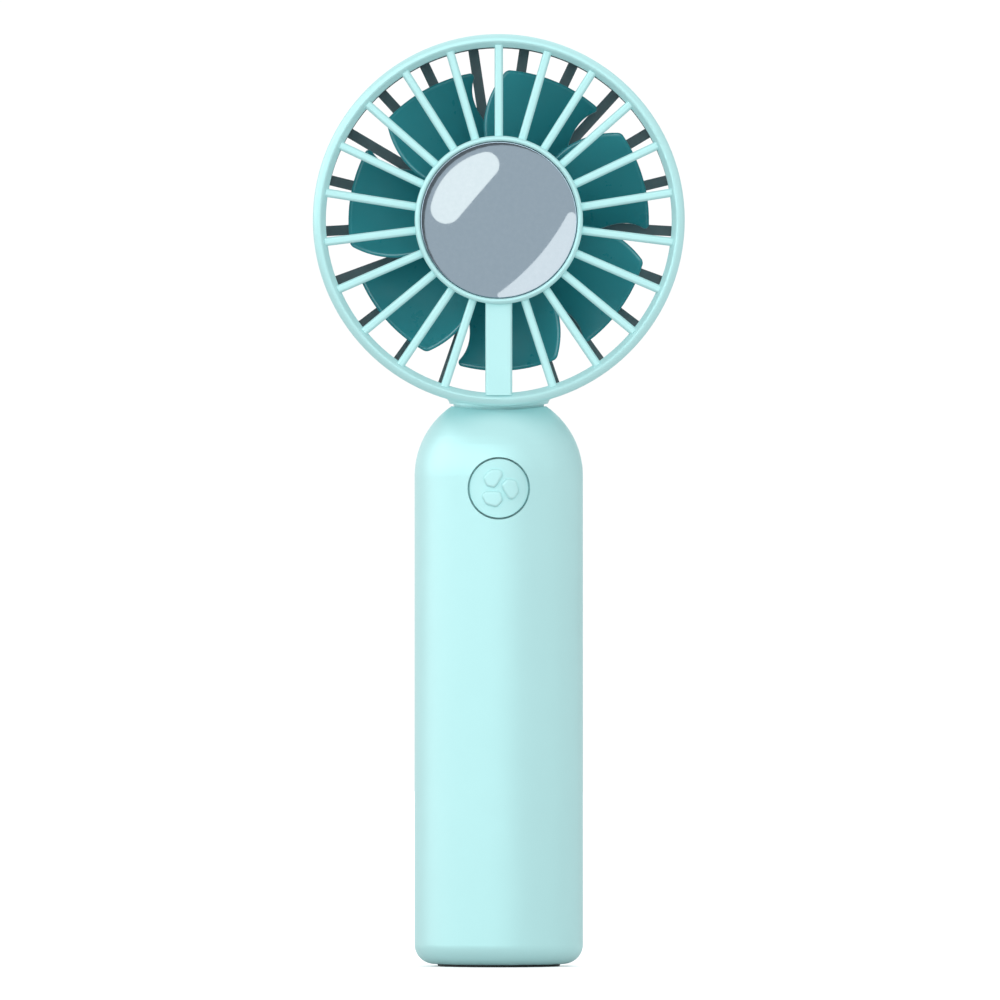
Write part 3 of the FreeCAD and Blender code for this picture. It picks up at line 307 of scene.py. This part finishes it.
def clear_plastic():
    """A frosted light pipe."""
    material, tree, shader = new_material("clear_plastic")
    frost = noise(tree, object_coordinates(tree), 3000.0, 3.0)
    link(tree, mottled(tree, frost, (0.80, 0.86, 0.86), (0.92, 0.95, 0.95)), shader.inputs["Base Color"])
    link(tree, spread(tree, frost, 0.25, 0.4), shader.inputs["Roughness"])
    shader.inputs["Transmission Weight"].default_value = 0.6
    return material


MINT = (0.535, 0.87, 0.88)
MATERIALS = {
    "mint_plastic": moulded_plastic("mint_plastic", MINT, 0.38, tint=(0.52, 1.0, 1.0), level=0.9),
    # The rear guard's dark grey-teal is partly its own colour and partly painted shade. It is darkened to
    # stand in for the deep shade inside the head.
    "guard_plastic": moulded_plastic("guard_plastic", (0.075, 0.155, 0.175), 0.45),
    "blade_plastic": moulded_plastic("blade_plastic", (0.036, 0.33, 0.375), 0.30, grain=0.000006),
    "mirror_glass": mirror_glass(),
    "foam_tape": foam("foam_tape", (0.62, 0.62, 0.58)),
    "zinc_steel": brushed_metal("zinc_steel", (0.60, 0.61, 0.62), 0.32, (1.0, 1.0, 1.0)),
    "can_steel": brushed_metal("can_steel", (0.58, 0.58, 0.57), 0.3),
    "shaft_steel": brushed_metal("shaft_steel", (0.68, 0.68, 0.69), 0.16, (1.0, 12.0, 1.0)),
    "bearing_bronze": brushed_metal("bearing_bronze", (0.50, 0.30, 0.13), 0.42, (1.0, 1.0, 1.0)),
    "contact_brass": brushed_metal("contact_brass", (0.74, 0.53, 0.22), 0.26, (1.0, 12.0, 1.0)),
    "magnet_ferrite": fired_ceramic("magnet_ferrite", (0.05, 0.05, 0.055), 0.6),
    "winding_copper": copper_winding(),
    "black_plastic": moulded_plastic("black_plastic", (0.018, 0.018, 0.019), 0.4),
    # The foot pad's black is partly its own colour and partly painted shadow. It draws the dark contact line
    # along the base.
    "foot_silicone": silicone("foot_silicone", (0.012, 0.014, 0.015)),
    "board_laminate": board_laminate(),
    "capacitor_sleeve": moulded_plastic("capacitor_sleeve", (0.015, 0.02, 0.05), 0.25),
    "chip_ceramic": fired_ceramic("chip_ceramic", (0.42, 0.34, 0.24), 0.4),
    "clear_plastic": clear_plastic(),
    "cell_wrap": cell_wrap(),
    "nickel_strip": brushed_metal("nickel_strip", (0.64, 0.62, 0.57), 0.28, (12.0, 1.0, 1.0)),
    "black_insulation": moulded_plastic("black_insulation", (0.014, 0.014, 0.014), 0.36, mottle=0.1),
    "red_insulation": moulded_plastic("red_insulation", (0.42, 0.012, 0.012), 0.36, mottle=0.1),
}


def dress_nodes():
    """Gives each CAD node the material of its slot."""
    for part in frame["record"]["subparts"]:
        node = nodes[part["node"]]
        node.data.materials.clear()
        node.data.materials.append(MATERIALS[part["material_slot"]])


# ---------------------------------------------------------------- studio
def emission_material(name, colour, strength):
    """A plain light-giving surface for a sweep or a card."""
    material = bpy.data.materials.new(name)
    material.use_nodes = True
    tree = material.node_tree
    tree.nodes.clear()
    light = add(tree, "ShaderNodeEmission")
    light.inputs["Color"].default_value = (*colour, 1.0)
    light.inputs["Strength"].default_value = strength
    output = add(tree, "ShaderNodeOutputMaterial")
    link(tree, light.outputs["Emission"], output.inputs["Surface"])
    return material


def surface(name, points, faces, material):
    """An object in the scene made of flat faces."""
    mesh = bpy.data.meshes.new(name)
    mesh.from_pydata(points, [], faces)
    mesh.materials.append(material)
    made = bpy.data.objects.new(name, mesh)
    bpy.context.scene.collection.objects.link(made)
    return made


def only_reflected(thing):
    """Hides a light surface from the camera and from soft light, so that only reflections show it."""
    thing.visible_diffuse = False
    thing.visible_camera = False


def floor_sheet(name, z, material):
    """A large flat sheet at height z."""
    w = FLOOR_HALF_WIDTH
    corners = [(-w, -w, z), (w, -w, z), (w, w, z), (-w, w, z)]
    sheet = surface(name, corners, [(0, 1, 2, 3)], material)
    return sheet


def studio_floor():
    """Pale paper that the camera sees, over a darker sheet that the object sees."""
    material, tree, shader = new_material("studio_paper")
    fibre = noise(tree, object_coordinates(tree), 90.0, 4.0)
    link(tree, shades(tree, fibre, (0.88, 0.88, 0.88), (0.92, 0.92, 0.92)), shader.inputs["Base Color"])
    shader.inputs["Roughness"].default_value = 0.9
    shader.inputs["Specular IOR Level"].default_value = 0.1
    shader.inputs["Emission Color"].default_value = (*WHITE, 1.0)
    shader.inputs["Emission Strength"].default_value = PAPER_GLOW
    paper = floor_sheet("studio_paper", 0.0, material)
    for flag in ("visible_diffuse", "visible_glossy", "visible_transmission", "visible_shadow"):
        setattr(paper, flag, False)
    material, tree, shader = new_material("studio_underlay")
    weave = noise(tree, object_coordinates(tree), 90.0, 4.0)
    link(tree, shades(tree, weave, (0.58, 0.58, 0.58), (0.62, 0.62, 0.62)), shader.inputs["Base Color"])
    shader.inputs["Roughness"].default_value = 0.9
    underlay = floor_sheet("studio_underlay", UNDERLAY_Z, material)
    underlay.visible_camera = False


def tall_sweep(name, first, last, strength):
    """A tall bright sheet far out round the object, from one clock angle to another."""
    points = []
    for angle in turns(math.radians(first), math.radians(last), SWEEP_PANELS + 1):
        x, y = SWEEP_RADIUS * math.sin(angle), -SWEEP_RADIUS * math.cos(angle)
        points += [(x, y, SWEEP_LOW), (x, y, SWEEP_HIGH)]
    faces = [(2 * i, 2 * i + 1, 2 * i + 3, 2 * i + 2) for i in range(SWEEP_PANELS)]
    sweep = surface(name, points, faces, emission_material(name, WHITE, strength))
    only_reflected(sweep)


def card_outline(outer_r, inner_r, apex, corners):
    """A crescent with rounded ends: inside outer_r, and outside an inner circle that reaches out to apex.

    Each end is a small arc that touches both circles, at bearings seen from the centres of those circles.
    """
    inner_v = apex - inner_r
    ends = []
    for side, corner in zip((-1, 1), corners):
        outer_run, inner_run = outer_r - corner, inner_r + corner
        v = (outer_run ** 2 + inner_v ** 2 - inner_run ** 2) / (2 * inner_v)
        u = side * math.sqrt(outer_run ** 2 - v ** 2)
        bearings = [math.atan2(rise, abs(u)) for rise in (v, v - inner_v)]
        if side < 0:
            bearings = [math.pi - bearing for bearing in bearings]
        ends.append(((u, v, corner), *bearings))
    (left_arc, left_outer, left_inner), (right_arc, right_outer, right_inner) = ends
    points = arc(0, 0, outer_r, right_outer, left_outer)
    points += arc(*left_arc, left_outer, left_inner + math.pi)
    points += arc(0, inner_v, inner_r, left_inner, right_inner)
    points += arc(*right_arc, right_inner + math.pi, right_outer + math.tau)
    return points


def arc(u, v, radius, first, last):
    """Points on an arc about (u, v)."""
    return [(u + radius * math.cos(t), v + radius * math.sin(t)) for t in turns(first, last, ARC_POINTS)]


def turns(first, last, count):
    """Evenly spaced angles from first to last."""
    return [first + (last - first) * i / (count - 1) for i in range(count)]


def mirror_card(name, outline, clock, distance, colour, strength):
    """A card that the mirror shows with the given outline, in mirror radii, turned to the clock angle."""
    gap = CAMERA_DISTANCE + mirror_low.y
    share = distance / gap
    turn = -math.radians(clock)
    points = []
    for u, v in outline:
        x = (u * math.cos(turn) - v * math.sin(turn)) * mirror_radius
        z = (u * math.sin(turn) + v * math.cos(turn)) * mirror_radius + head_centre_z
        points.append((x + (x - CAMERA_X) * share, mirror_low.y - distance, z + (z - VIEW_CENTRE_Z) * share))
    card = surface(name, points, [tuple(range(len(points)))], emission_material(name, colour, strength))
    only_reflected(card)


def key_sweeps():
    """The bright key on the left, which fades out in steps round to the right of the camera."""
    tall_sweep("key_sweep", KEY_START, KEY_EDGE, KEY_STRENGTH)
    for i in range(KEY_STEPS):
        share = 1 - (i + 0.5) / KEY_STEPS
        start = KEY_EDGE + i * KEY_STEP
        tall_sweep(f"key_fade_{i}", start, start + KEY_STEP, 1 + (KEY_STRENGTH - 1) * share)


def mirror_cards():
    """What the mirror shows: an even grey, two bright panels and a dark edge."""
    angles = turns(0, math.tau, SURROUND_CORNERS + 1)[:-1]
    round_card = [(SURROUND_R * math.cos(t), SURROUND_R * math.sin(t)) for t in angles]
    mirror_card("mirror_surround", round_card, 0.0, SURROUND_DISTANCE, WHITE, 1.0)
    upper = card_outline(0.885, 38.0, 0.412, (0.197, 0.166))
    mirror_card("mirror_panel_upper", upper, -49.6, PANEL_DISTANCE, (1.0, 0.91, 0.82), 2.5)
    lower = card_outline(0.989, 2.90, 0.689, (0.062, 0.03))
    mirror_card("mirror_panel_lower", lower, 130.2, PANEL_DISTANCE, (1.0, 0.91, 0.85), 2.2)
    shade = card_outline(1.012, 0.989, 0.938, (0.004, 0.004))
    mirror_card("mirror_shade_card", shade, -50.0, SHADE_DISTANCE, WHITE, 0.28)


def studio_world():
    """An even white surround."""
    world = bpy.data.worlds.new("studio_world")
    world.use_nodes = True
    background = world.node_tree.nodes["Background"]
    background.inputs["Color"].default_value = (*WHITE, 1.0)
    background.inputs["Strength"].default_value = WORLD_STRENGTH
    bpy.context.scene.world = world


def studio_camera():
    """A long lens far in front, level with the middle of the object."""
    data = bpy.data.cameras.new("camera")
    data.sensor_width = SENSOR_MM
    data.lens = SENSOR_MM * (CAMERA_DISTANCE - VIEW_PLANE_GAP) / VIEW_WIDTH
    data.clip_end = CAMERA_REACH
    camera = bpy.data.objects.new("camera", data)
    camera.location = (CAMERA_X, -CAMERA_DISTANCE, VIEW_CENTRE_Z)
    camera.rotation_euler = (math.pi / 2, 0, 0)
    bpy.context.scene.collection.objects.link(camera)
    bpy.context.scene.camera = camera


dress_nodes()
studio_floor()
studio_world()
key_sweeps()
tall_sweep("flag_sweep", FLAG_START, FLAG_END, FLAG_STRENGTH)
mirror_cards()
studio_camera()
bpy.context.scene.view_settings.view_transform = "Standard"
